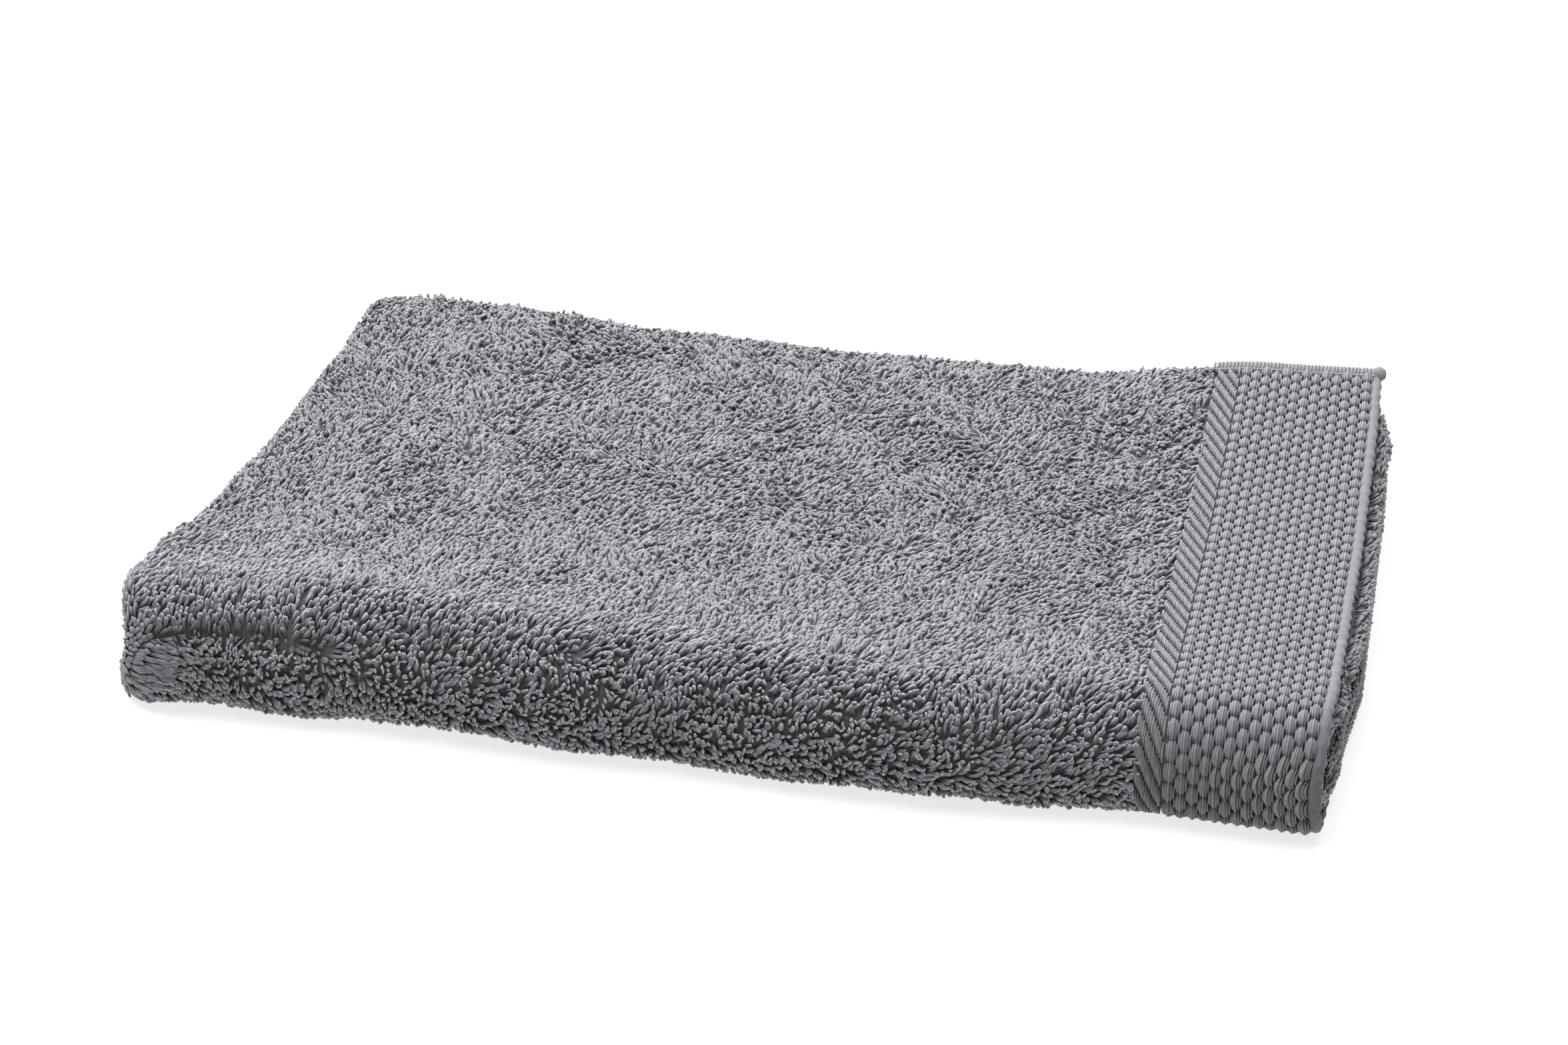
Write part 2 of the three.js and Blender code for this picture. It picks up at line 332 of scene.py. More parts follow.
def addBump(nodes, links, shader, source, strength, distance):
    bump = nodes.new("ShaderNodeBump")
    setInputs(bump, {"Strength": strength, "Distance": distance})
    links.new(source.outputs["Fac"], bump.inputs["Height"])
    links.new(bump.outputs["Normal"], shader.inputs["Normal"])


cottonSurface = {                        # light passes a little way through the cotton
    "Subsurface Weight": 0.5, "Subsurface Radius": (1, 1, 1), "Subsurface Scale": 0.0020,
    "Sheen Roughness": 0.5,
}
terryLook = {
    "surface": {**cottonSurface, "Roughness": 0.85, "Specular IOR Level": 0.1, "Sheen Weight": 0.08},
    # colours along a loop from its foot to its tip: painted shade at the foot, a painted highlight at the
    # crown
    "foot": (0.15, (0.110, 0.106, 0.117, 1)), "body": (0.55, (0.218, 0.212, 0.232, 1)),
    "tip": (0.85, (0.265, 0.258, 0.281, 1)), "crown": (1.0, (0.720, 0.706, 0.748, 1)),
    "loopTint": 0.14, "cloudTint": 0.24, "lowest": 0.82, "cloud": (55, 3), "fibre": (2600, 2),
    "bump": (0.35, 0.0001),
}


def terryFinish():
    look = terryLook
    material, nodes, links, shader = newMaterial("terryCotton")
    setInputs(shader, look["surface"])
    uv = nodes.new("ShaderNodeUVMap")
    uv.uv_map = "cloth"
    split = nodes.new("ShaderNodeSeparateXYZ")
    links.new(uv.outputs["UV"], split.inputs[0])
    # painted shade and highlight along each loop, from the map's second value
    depth = addRamp(nodes, [look["foot"], look["body"], look["tip"], look["crown"]])
    links.new(split.outputs["Y"], depth.inputs["Fac"])
    tint = nodes.new("ShaderNodeMath")               # each loop a little lighter or darker
    tint.operation = "MULTIPLY_ADD"
    tint.inputs[1].default_value = look["loopTint"]
    tint.inputs[2].default_value = look["lowest"]
    links.new(split.outputs["X"], tint.inputs[0])
    cloud = addNoise(nodes, links, *look["cloud"])   # soft uneven dye
    dye = nodes.new("ShaderNodeMath")
    dye.operation = "MULTIPLY_ADD"
    dye.inputs[1].default_value = look["cloudTint"]
    links.new(cloud.outputs["Fac"], dye.inputs[0])
    links.new(tint.outputs[0], dye.inputs[2])
    mix = nodes.new("ShaderNodeMix")
    mix.data_type = "RGBA"
    mix.blend_type = "MULTIPLY"
    mix.inputs["Factor"].default_value = 1
    links.new(depth.outputs["Color"], mix.inputs["A"])
    links.new(dye.outputs[0], mix.inputs["B"])
    links.new(mix.outputs["Result"], shader.inputs["Base Color"])
    addBump(nodes, links, shader, addNoise(nodes, links, *look["fibre"]), *look["bump"])
    return material


# the ground weave is the cotton darkened to about half its tone: painted shade between the loops
groundLook = {
    "surface": {"Roughness": 0.95, "Specular IOR Level": 0.15},
    "rows": {"Scale": 130, "Distortion": 1.5, "Detail": 2},
    "dark": (0.0, (0.100, 0.097, 0.105, 1)), "light": (1.0, (0.130, 0.126, 0.136, 1)),
    "bump": (0.6, 0.0004),
}


def groundFinish():
    look = groundLook
    material, nodes, links, shader = newMaterial("shadedGroundWeave")
    setInputs(shader, look["surface"])
    uv = nodes.new("ShaderNodeUVMap")
    uv.uv_map = "cloth"
    rows = nodes.new("ShaderNodeTexWave")            # the rows of the ground weave
    setInputs(rows, look["rows"])
    links.new(uv.outputs["UV"], rows.inputs["Vector"])
    tone = addRamp(nodes, [look["dark"], look["light"]])
    links.new(rows.outputs["Fac"], tone.inputs["Fac"])
    links.new(tone.outputs["Color"], shader.inputs["Base Color"])
    addBump(nodes, links, shader, rows, *look["bump"])
    return material


yarnLook = {
    "surface": {**cottonSurface, "Roughness": 0.7, "Specular IOR Level": 0.3, "Sheen Weight": 0.02},
    "dark": (0.3, (0.210, 0.205, 0.224)), "light": (0.7, (0.268, 0.262, 0.284)),
    # the hems and the corner knot take this yarn darkened: painted shade
    "cloud": (420, 4), "fibre": (2400, 2), "bump": (0.4, 0.0001), "borderShade": 1.0, "hemPaintedShade": 0.82,
    # painted shade from the front fold downwards
    "paintedFoldShade": {"From Min": tStart[1] - 0.012, "From Max": tStart[1] + 0.050,
                  "To Min": 1.0, "To Max": 0.67},
}


def yarnFinish(name, shade):
    look = yarnLook
    material, nodes, links, shader = newMaterial(name)
    setInputs(shader, look["surface"])
    stops = []
    for place, colour in (look["dark"], look["light"]):
        stops.append((place, (*[part * shade for part in colour], 1)))
    tone = addRamp(nodes, stops)
    cloud = addNoise(nodes, links, *look["cloud"])
    links.new(cloud.outputs["Fac"], tone.inputs["Fac"])
    uv = nodes.new("ShaderNodeUVMap")
    uv.uv_map = "cloth"
    split = nodes.new("ShaderNodeSeparateXYZ")
    links.new(uv.outputs["UV"], split.inputs[0])
    foldShadeNode = nodes.new("ShaderNodeMapRange")         # painted shade, darker from the front fold downwards
    setInputs(foldShadeNode, look["paintedFoldShade"])
    links.new(split.outputs["Y"], foldShadeNode.inputs["Value"])
    scale = nodes.new("ShaderNodeVectorMath")
    scale.operation = "SCALE"
    links.new(tone.outputs["Color"], scale.inputs["Vector"])
    links.new(foldShadeNode.outputs["Result"], scale.inputs["Scale"])
    links.new(scale.outputs["Vector"], shader.inputs["Base Color"])
    addBump(nodes, links, shader, addNoise(nodes, links, *look["fibre"]), *look["bump"])
    return material


terryCotton = terryFinish()
shadedGroundWeave = groundFinish()
borderYarn = yarnFinish("borderYarn", yarnLook["borderShade"])
# a darker copy of the border yarn: painted shade on the hems and the corner knot
shadedHemYarn = yarnFinish("shadedHemYarn", yarnLook["hemPaintedShade"])
print("finishes ready")

# the cloth itself: one closed sheet under the pile
clothSizes = {
    "hemKnots": (0.0, 0.0012, 0.0034, 0.0046), "bandStart": 0.013, "bandStep": 0.009, "step": 0.0105,
    "hiddenStep": 0.028, "bigFoldStep": 0.0032, "tightFoldStep": 0.0028, "nearFold": 0.012,
    "nearFoldStep": 0.006, "frontStep": 0.0065, "underReach": 0.03, "underStep": 0.01, "backStep": 0.0053,
    "groundDepth": 0.0034, "groundBack": 0.0044, "borderSink": 0.0018, "borderEdge": 0.0014,
}


def stepsBetween(start, end, longest):
    count = max(1, math.ceil((end - start) / longest - 1e-6))
    return np.linspace(start, end, count + 1)[:-1]


def clothKnots():
    # where the sheet has its rows of points, finer where it bends
    values = clothSizes
    step, hidden = values["step"], values["hiddenStep"]
    profile = endProfile[:, 0]
    nearFold, under = sStart[3] - values["nearFold"], tStart[2] + values["underReach"]
    s = [values["hemKnots"], stepsBetween(values["bandStart"], profile[6], values["bandStep"]), profile[6:9],
         stepsBetween(profile[9], sStart[1], step), stepsBetween(sStart[1], sStart[2], values["bigFoldStep"]),
         stepsBetween(sStart[2], nearFold, hidden), stepsBetween(nearFold, sStart[3], values["nearFoldStep"]),
         stepsBetween(sStart[3], sStart[4], values["tightFoldStep"]),
         stepsBetween(sStart[4], sStart[5], hidden), [sStart[5]]]
    t = [stepsBetween(0, tStart[1], step), stepsBetween(tStart[1], tStart[2], values["frontStep"]),
         stepsBetween(tStart[2], under, values["underStep"]), stepsBetween(under, tStart[3], hidden),
         stepsBetween(tStart[3], tStart[4], values["backStep"]), stepsBetween(tStart[4], tStart[5], hidden),
         [tStart[5]]]
    return np.concatenate(s), np.concatenate(t)


def makeCloth():
    values = clothSizes
    knotsS, knotsT = clothKnots()
    column, row, isTop, faces = doubleGrid(len(knotsS), len(knotsT))
    s, t = knotsS[column], knotsT[row]
    onBorder = 1 - smoothShare(s, borderWidth - values["borderEdge"], borderWidth)
    upper = np.interp(s, endProfile[:, 0], endProfile[:, 1]) + values["borderSink"]
    lower = np.interp(s, endProfile[:, 0], endProfile[:, 2])
    upper = upper * onBorder + values["groundDepth"] * (1 - onBorder)
    lower = lower * onBorder + values["groundBack"] * (1 - onBorder)
    h = -np.where(isTop, upper, lower)
    folded = foldCloth(np.stack([s, t, h], axis=1))
    return joinMesh("bathSheet", folded, faces, np.stack([s, t], axis=1), shadedGroundWeave)


bathSheet = makeCloth()
print("cloth", len(bathSheet.data.polygons) * 2, "triangles")

# the pile: every loop is a copy of one small closed loop of yarn
pileSizes = {
    "pitch": 0.0021, "loopWidth": 0.00225, "loopThick": 0.00155, "widths": (0.85, 1.15), "foot": -0.0038,
    "tipHeight": (-0.0004, 0.0006), "longest": 0.0062, "lengths": (0.9, 1.0), "leanEase": 0.12,
    "edgeDrop": 0.0010, "edgeReach": (0.004, 0.024), "overhang": (0.0012, 0.0036), "steepest": 1.8,
    "jitter": (0.50, 0.34), "jitterSplit": 0.29, "twist": 0.8, "curl": 0.5, "curlForward": 0.55,
    "curlDown": 0.35, "rowWobble": 0.10, "rowWave": (0.04, 0.0012), "waveEdge": (0.002, 0.012),
    "firstRow": 0.0006, "paintedShadePower": 0.7,
}
leanSizes = {
    "strokeWeight": 2, "strokePull": 0.75, "broad": (0.036, 0.55), "fine": (0.010, 0.8),
    "partingPush": (0.3, 0.006), "pinchPush": (0.5, 0.008), "tuftPitch": 0.0082, "tuftPull": 0.9,
    "tuftSpread": 0.45, "tuftFrom": 0.4,
}
paintedCreaseShade = {"partingWidth": 0.0026, "pinchWidth": 0.0040, "strength": 0.55}
# how the loops lie from the back of the towel down the front: t, towards the right, upwards, unevenness
pileNap = np.array([
    [0.000, 0.2, -0.90, 0.5], [0.007, 0.2, 0.30, 1.0], [0.150, 0.3, 0.35, 1.0], [0.270, 0.45, 0.60, 0.9],
    [0.310, 0.55, 1.05, 0.6], [0.330, 0.50, 1.00, 0.60], [0.346, 0.75, 0.75, 0.60],
    [0.362, 0.95, 0.50, 0.6], [0.374, 0.80, 0.00, 0.5], [0.382, 0.3, -1.2, 0.3], [0.395, 0.0, -1.8, 0.2]])
# strokes seen on the front and beside it: s, t, towards the right, upwards, reach
pileStrokes = [
    (0.427, 0.318, -0.10, 1.30, 0.011), (0.449, 0.317, -0.55, 1.15, 0.010),
    (0.412, 0.317, 0.50, 1.10, 0.010), (0.385, 0.313, 0.95, 0.90, 0.013),
    (0.484, 0.327, 1.00, 0.15, 0.010), (0.475, 0.351, -0.20, -0.30, 0.012),
    (0.438, 0.343, 0.50, -0.15, 0.008), (0.421, 0.344, 0.40, -0.05, 0.008),
    (0.391, 0.353, 0.10, -1.20, 0.010), (0.360, 0.311, 0.80, 1.00, 0.013),
    (0.326, 0.324, -0.10, 1.15, 0.011), (0.334, 0.312, 0.35, 1.10, 0.010),
    (0.288, 0.327, 1.25, -0.05, 0.008), (0.293, 0.316, 1.00, 0.80, 0.008),
    (0.293, 0.341, 0.55, -0.90, 0.008), (0.306, 0.333, -0.30, 0.45, 0.007),
    (0.261, 0.314, 0.95, 0.90, 0.012), (0.233, 0.324, 0.90, 0.80, 0.014),
    (0.200, 0.308, 0.20, 1.20, 0.011), (0.144, 0.321, 0.20, 1.20, 0.013),
    (0.113, 0.316, 0.75, 1.00, 0.012), (0.183, 0.334, 0.40, 0.40, 0.014),
    (0.258, 0.338, 0.50, 0.35, 0.011)]


def leanField(s, t):
    # which way the loops lie: the nap, the strokes, uneven patches, creases and tufts
    values = leanSizes
    toRight = lookUp(t, pileNap, 1)
    upwards = lookUp(t, pileNap, 2)
    uneven = lookUp(t, pileNap, 3)
    weight = np.ones_like(s)
    for atS, atT, strokeRight, strokeUp, reach in pileStrokes:
        share = values["strokeWeight"] * np.exp(-((s - atS) ** 2 + (t - atT) ** 2) / reach ** 2)
        toRight = toRight + values["strokePull"] * share * strokeRight
        upwards = upwards + values["strokePull"] * share * strokeUp
        weight = weight + share
    lean = np.stack([-toRight / weight, -upwards / weight])
    for (size, amount), seed in ((values["broad"], 21), (values["fine"], 23)):
        patches = np.stack([noiseField(s, t, size, seed), noiseField(s, t, size, seed + 1)])
        lean = lean + amount * uneven * patches
    push, width = values["partingPush"]
    for crease in partings:
        away = creaseAway(s, t, crease)
        gap = np.hypot(away[0], away[1]) + 1e-6
        lean = lean + push * crease[4] * np.exp(-(gap / width) ** 2) * away / gap
    push, width = values["pinchPush"]
    for atS, atT, strength in pinches:
        away = np.stack([s - atS, t - atT])
        gap = np.hypot(away[0], away[1]) + 1e-6
        lean = lean + push * strength * np.exp(-(gap / width) ** 2) * away / gap
    return lean + values["tuftPull"] * np.maximum(0, uneven - values["tuftFrom"]) * tuftPull(s, t)


def tuftPull(s, t):
    # towards the middle of the nearest tuft
    pitch, spread = leanSizes["tuftPitch"], leanSizes["tuftSpread"]
    column = np.floor(s / pitch)
    row = np.floor(t / pitch)
    best = np.full(s.shape, 1e9)
    pull = np.zeros((2,) + s.shape)
    for i in (-1, 0, 1):
        for j in (-1, 0, 1):
            shiftS = spread * noiseField((column + i) * 7.3, (row + j) * 5.1, 1, 25)
            shiftT = spread * noiseField((column + i) * 3.7, (row + j) * 8.9, 1, 26)
            tuftS = (column + i + 0.5 + shiftS) * pitch
            tuftT = (row + j + 0.5 + shiftT) * pitch
            away = np.hypot(tuftS - s, tuftT - t)
            near = away < best
            best = np.where(near, away, best)
            pull = np.where(near, np.stack([tuftS - s, tuftT - t]) / pitch, pull)
    return pull


def creaseShade(s, t):
    # painted shade: how much darker the loops are that lie in a crease
    shade = np.zeros_like(s)
    for crease in partings:
        gap = np.hypot(*creaseAway(s, t, crease))
        shade = np.maximum(shade, crease[4] * np.exp(-(gap / paintedCreaseShade["partingWidth"]) ** 2))
    for atS, atT, strength in pinches:
        gap = np.hypot(s - atS, t - atT)
        shade = np.maximum(shade, strength * np.exp(-(gap / paintedCreaseShade["pinchWidth"]) ** 2))
    return np.minimum(shade, 1)


def placeLoops(s, t, look, seed):
    # every loop: a foot in the ground weave, a direction, a twist, and a length that brings its tip
    # to the pile's face
    values = pileSizes
    random = np.random.default_rng(seed)
    count = len(s)
    uneven = random.normal(0, 1, (2, count)) * np.where(t < values["jitterSplit"], *values["jitter"])
    direction = look["flat"] * leanField(s, t) + uneven
    over, height = values["overhang"]
    direction[1] = np.maximum(direction[1], -(t + over) / height)        # none hangs far over the side hem
    slope = np.hypot(direction[0], direction[1])
    unit = direction / np.maximum(slope, 1e-6)
    angle = np.arctan(np.minimum(slope, values["steepest"]))
    curl = values["curl"] * np.sin(angle)
    tip = random.uniform(*values["tipHeight"], count)
    tip = tip - values["edgeDrop"] * (1 - smoothShare(t, *values["edgeReach"]))  # lower beside the hem
    length = (tip - values["foot"]) / (np.cos(angle) - values["curlDown"] * curl + values["leanEase"])
    length = np.minimum(length, values["longest"] * random.uniform(*values["lengths"], count))
    axis = np.stack([unit[0] * np.sin(angle), unit[1] * np.sin(angle), np.cos(angle)], axis=1)
    side = np.stack([-unit[1], unit[0], np.zeros(count)], axis=1)
    up = np.cross(axis, side)
    turn = random.normal(0, values["twist"], count)
    across = side * np.cos(turn)[:, None] + up * np.sin(turn)[:, None]
    thick = np.cross(axis, across)
    ringPoints, ringFaces = look["ring"]
    wide = look["scale"] * random.uniform(*values["widths"], count)
    share = ringPoints[:, 2]                                  # 0 at the foot, 1 at the tip
    base = np.stack([s, t, np.full(count, values["foot"])], axis=1)
    forward = np.stack([unit[0], unit[1], np.zeros(count)], axis=1)
    points = base[:, None, :] + (length[:, None] * share)[:, :, None] * axis[:, None, :]
    points = points + ringPoints[None, :, 0, None] * (wide[:, None] * across)[:, None, :]
    points = points + ringPoints[None, :, 1, None] * (wide[:, None] * thick)[:, None, :]
    bend = (length * curl)[:, None] * (np.clip(share, 0, 1) ** 2)[None, :]
    points = points + bend[:, :, None] * (forward * values["curlForward"])[:, None, :]
    points[:, :, 2] -= bend * values["curlDown"]
    faces = (ringFaces[None, :, :] + (np.arange(count) * len(ringPoints))[:, None, None])
    tint = np.repeat(random.uniform(0, 1, count), len(ringPoints))
    middle = np.abs(ringPoints[:, 1]) > np.abs(ringPoints[:, 0])      # the line where the two legs meet, darkened there as painted shade
    # painted shade and highlight: the map's second value rises from each loop's foot to its tip
    along = np.clip(share, 0, 1) ** values["paintedShadePower"] * (1 - look["groove"] * middle)
    depth = look["lift"] + (look["reach"] - look["lift"]) * np.tile(along, count)
    # painted shade in the creases and gathered spots
    depth = depth * np.repeat(1 - paintedCreaseShade["strength"] * creaseShade(s, t), len(ringPoints))
    return points.reshape(-1, 3), faces.reshape(-1, ringFaces.shape[1]), np.stack([tint, depth], axis=1)


def pileRows(startS, endS, startT, endT, pitch, seed):
    # the feet of the loops in woven rows, each a little off its place
    random = np.random.default_rng(seed)
    wobble = pileSizes["rowWobble"] * pitch
    s, t = np.meshgrid(np.arange(startS + pitch / 2, endS, pitch), np.arange(startT + pitch / 2, endT, pitch))
    s = s.ravel() + random.normal(0, wobble, s.size)
    t = t.ravel() + random.normal(0, wobble, t.size)
    size, height = pileSizes["rowWave"]
    wave = height * noiseField(s, t, size, 31) * smoothShare(t, *pileSizes["waveEdge"])
    return np.clip(s, startS + pileSizes["firstRow"], None), t + wave


def cutAcross(bm, place):
    geometry = bm.verts[:] + bm.edges[:] + bm.faces[:]
    bmesh.ops.bisect_plane(bm, geom=geometry, plane_co=(0, 0, place), plane_no=(0, 0, 1))


def closedLoop(rings):
    # a loop whose two legs touch: an oval rod that narrows to its tip, its rings as (share, size)
    bm = bmesh.new()
    bmesh.ops.create_cone(bm, cap_ends=True, segments=4, radius1=1, radius2=0, depth=1)
    for i in range(1, len(rings)):
        cutAcross(bm, i / len(rings) - 0.5)
    for vert in bm.verts:
        index = round((vert.co.z + 0.5) * len(rings))
        if index == len(rings):
            vert.co = Vector((0, 0, 1))
            continue
        share, size = rings[index]
        reach = math.hypot(vert.co.x, vert.co.y)
        vert.co = Vector((vert.co.x / reach * size * pileSizes["loopWidth"] / 2,
                          vert.co.y / reach * size * pileSizes["loopThick"] / 2, share))
    bmesh.ops.triangulate(bm, faces=bm.faces[:])
    bmesh.ops.recalc_face_normals(bm, faces=bm.faces[:])
    return meshArrays(bm)


loopRing = closedLoop([(0.0, 0.75), (0.88, 0.98)])
frontRing = closedLoop([(0.0, 0.62), (0.66, 1.0), (0.93, 0.86)])
pitch = pileSizes["pitch"]
pileStart, pileEnd = borderWidth - 0.0016, sStart[1]         # the first row leans on the border
topEnd = tStart[1] - 0.004
plainPile = {"ring": loopRing, "scale": 1.0, "flat": 1.0, "lift": 0.0, "reach": 0.85, "groove": 0.2}
topPile = {**plainPile, "scale": 0.88, "lift": 0.64, "reach": 0.80}
# every piece: its loop, size, how flat they lie, the range of its painted shade and highlight, seed, and
# regions as (s, s, t, t, pitch)
pileAreas = {}
for index, name in enumerate(("pileTopRight", "pileTopMiddle", "pileTopLeft")):
    third = (pileEnd - pileStart) / 3
    firstS = pileStart + index * third
    pileAreas[name] = {**topPile, "seed": 100 + 10 * index,
                       "regions": [(firstS, firstS + third, 0, topEnd, pitch)]}
pileAreas["pileFront"] = {
    **plainPile, "ring": frontRing, "scale": 0.9, "reach": 1.0, "groove": 0.62, "seed": 130,
    "regions": [(pileStart, pileEnd, topEnd, tStart[2] + 0.006, 0.0022)]}
pileAreas["pileLeft"] = {
    **plainPile, "ring": frontRing, "scale": 0.95, "flat": 1.2, "seed": 140,
    "regions": [(pileEnd, sStart[2] + 0.002, 0, tStart[2], 0.0024),
                (pileEnd, sStart[2] + 0.002, tStart[2], tStart[5], 0.0028)]}
pileAreas["pileRight"] = {
    **plainPile, "flat": 1.8, "seed": 150,
    "regions": [(sStart[3] - 0.004, sStart[4] + 0.004, 0, tStart[5], 0.0027)]}
pileAreas["pileBack"] = {
    **plainPile, "flat": 1.5, "seed": 160,
    "regions": [(pileStart, pileEnd, tStart[3] - 0.008, tStart[4] + 0.008, 0.0027)]}
pilePieces = []


def joinParts(parts):
    # several (points, faces, map values) as one
    points, faces, maps, offset = [], [], [], 0
    for somePoints, someFaces, someMap in parts:
        points.append(somePoints)
        faces.append(someFaces + offset)
        maps.append(someMap)
        offset += len(somePoints)
    return np.concatenate(points), np.concatenate(faces), np.concatenate(maps)


def makePile(name, look):
    seed = look["seed"]
    parts = []
    for startS, endS, startT, endT, pitch in look["regions"]:
        s, t = pileRows(startS, endS, startT, endT, pitch, seed)
        parts.append(placeLoops(s, t, look, seed + 1))
        seed += 2
    points, faces, uvs = joinParts(parts)
    piece = joinMesh(name, foldCloth(points), faces, uvs, terryCotton)
    pilePieces.append(piece)
    print(name, len(piece.data.polygons), "faces")


for name, look in pileAreas.items():
    makePile(name, look)
print("pile ready")

# the woven border: yarn floats that arch over the weave, in the two stretches that show
borderStretches = [(0.0082, tStart[2] + 0.012), (tStart[3] - 0.008, tStart[4] + 0.006)]
floatTaper = 0.3                                             # how much thinner a float is at its ends


def yarnFloat(cuts):
    # a short closed rod along y, from -0.5 to 0.5, with a few cuts so that it can arch
    bm = bmesh.new()
    bmesh.ops.create_cone(bm, cap_ends=True, segments=3, radius1=1, radius2=1, depth=1)
    for i in range(1, cuts + 1):
        cutAcross(bm, i / (cuts + 1) - 0.5)
    for vert in bm.verts:
        vert.co = Vector((vert.co.x, vert.co.z, -vert.co.y))
    bmesh.ops.recalc_face_normals(bm, faces=bm.faces[:])
    bmesh.ops.triangulate(bm, faces=bm.faces[:])
    return meshArrays(bm)


def layYarns(rod, s, t, half, top, sink, yarn, alongT=True, shape=3.0):
    # copies of the rod: centre (s, t), half length, height of its top, how far its ends dip
    rodPoints, rodFaces = rod
    share = rodPoints[:, 1] * 2
    arch = np.abs(share) ** shape
    width = yarn / 2 * (1 - floatTaper * arch)
    acrossYarn = (rodPoints[:, 0] * width)[None, :]
    alongYarn = half[:, None] * share[None, :]
    height = top[:, None] - sink[:, None] * arch[None, :] + (rodPoints[:, 2] * width)[None, :]
    if alongT:
        points = np.stack([s[:, None] + acrossYarn, t[:, None] + alongYarn, height], axis=2)
    else:
        points = np.stack([s[:, None] + alongYarn, t[:, None] + acrossYarn, height], axis=2)
    faces = rodFaces[None, :, :] + (np.arange(len(s)) * len(rodPoints))[:, None, None]
    return points.reshape(-1, 3), faces.reshape(-1, rodFaces.shape[1])


def joinYarns(name, parts, finish):
    cloth, faces, uvs = joinParts([(points, faces, points[:, :2]) for points, faces in parts])
    piece = joinMesh(name, foldCloth(cloth), faces, uvs, finish)
    print(name, len(piece.data.polygons), "faces")
    return piece


honeycombSizes = {
    "columns": 13, "columnPitch": 0.0046, "cell": 0.00844, "start": 0.0042, "yarns": 5, "yarnPitch": 0.00092,
    "yarn": 0.00124, "halfLengths": (0.0031, 0.0041, 0.0044, 0.0041, 0.0031), "lengths": (0.94, 1.08),
    "top": -0.0010, "sink": 0.0009, "crown": 0.0006, "cuts": 3, "offS": 0.00005, "offT": 0.00012,
    "offTop": 0.00006, "tie": 0.0005, "tieHalf": 0.0015, "tieDepth": 0.0009, "tieGaps": (-0.0007, 0.0007),
    "tieOff": 0.0001,
}


def honeycomb():
    # cells of five floats, every second column half a cell on, and two short ties between the cells
    random = np.random.default_rng(201)
    values = honeycombSizes
    cell, centreYarn = values["cell"], (values["yarns"] - 1) / 2
    rod, tie = yarnFloat(values["cuts"]), yarnFloat(0)
    parts = []
    for startT, endT in borderStretches:
        for column in range(values["columns"]):
            t = np.arange(startT + 0.5 * cell * (column % 2), endT, cell)
            t = t + random.normal(0, values["offT"], t.size)
            centre = values["start"] + (column + 0.5) * values["columnPitch"]
            for yarn in range(values["yarns"]):
                place = yarn - centreYarn
                half = values["halfLengths"][yarn] * random.uniform(*values["lengths"], t.size)
                s = centre + place * values["yarnPitch"] + random.normal(0, values["offS"], t.size)
                top = values["top"] + values["crown"] * (1 - abs(place) / 2)
                top = top + random.normal(0, values["offTop"], t.size)
                sink = np.full(t.size, values["sink"])
                parts.append(layYarns(rod, s, t, half, top, sink, values["yarn"]))
            for gap in values["tieGaps"]:
                s = np.full(t.size, centre) + random.normal(0, values["tieOff"], t.size)
                half = np.full(t.size, values["tieHalf"])
                low = np.full(t.size, values["top"] - values["tieDepth"])
                tieT = t + cell / 2 + gap
                parts.append(layYarns(tie, s, tieT, half, low, low * 0, values["tie"], alongT=False))
    return parts


twillSizes = {
    "start": 0.0648, "yarns": 12, "yarnPitch": 0.0009, "pitch": 0.0100, "step": 0.00190, "float": 0.0086,
    "yarn": 0.00124, "lengths": (0.95, 1.08), "top": -0.0008, "sink": 0.0013, "shape": 2.0, "cuts": 2,
    "offS": 0.00005, "offT": 0.00008, "offTop": 0.00005,
}


def twillBand():
    # floats that start a little later from yarn to yarn, so that they make slanted ribs
    random = np.random.default_rng(202)
    values = twillSizes
    rod = yarnFloat(values["cuts"])
    parts = []
    for startT, endT in borderStretches:
        for yarn in range(values["yarns"]):
            first = startT + (-yarn * values["step"]) % values["pitch"]
            t = np.arange(first, endT, values["pitch"]) + random.normal(0, values["offT"], 1)
            s = np.full(t.size, values["start"] + (yarn + 0.5) * values["yarnPitch"])
            s = s + random.normal(0, values["offS"], t.size)
            half = values["float"] / 2 * random.uniform(*values["lengths"], t.size)
            top = np.full(t.size, values["top"]) + random.normal(0, values["offTop"], t.size)
            sink = np.full(t.size, values["sink"])
            parts.append(layYarns(rod, s, t, half, top, sink, values["yarn"], shape=values["shape"]))
    return parts


# the hems: sections in millimetres as (in from the edge, height), then the ribs and the stitches
hemSizes = {
    "endRows": [[4.6, -1.9], [3.5, -1.35], [2.2, -1.2], [1.0, -1.5], [0.2, -2.1], [-0.2, -3.0], [0.6, -4.0]],
    "sideRows": [[8.0, -1.6], [6.6, -0.9], [4.4, -0.5], [2.0, -0.6], [0.4, -1.4], [-0.1, -2.6], [0.8, -3.8]],
    "endStart": 0.003, "endStep": 0.0021, "sideStart": 0.001, "sideStep": 0.0030, "scallop": 0.0004,
    "lining": 0.0003, "liningIn": 0.0009, "liningDepth": 0.0006, "liningLow": -0.0022,
}
ribSizes = {
    "start": 0.0020, "end": -0.001, "step": 0.0017, "off": 0.00006, "t": 0.0036, "half": 0.0036,
    "top": -0.0004, "sink": 0.0012, "yarn": 0.0013, "alongT": True,
}
stitchSizes = {
    "start": 0.004, "end": 0.002, "step": 0.0024, "t": 0.0076, "half": 0.0012,
    "top": -0.0006, "sink": 0.0004, "yarn": 0.0006, "alongT": False,
}


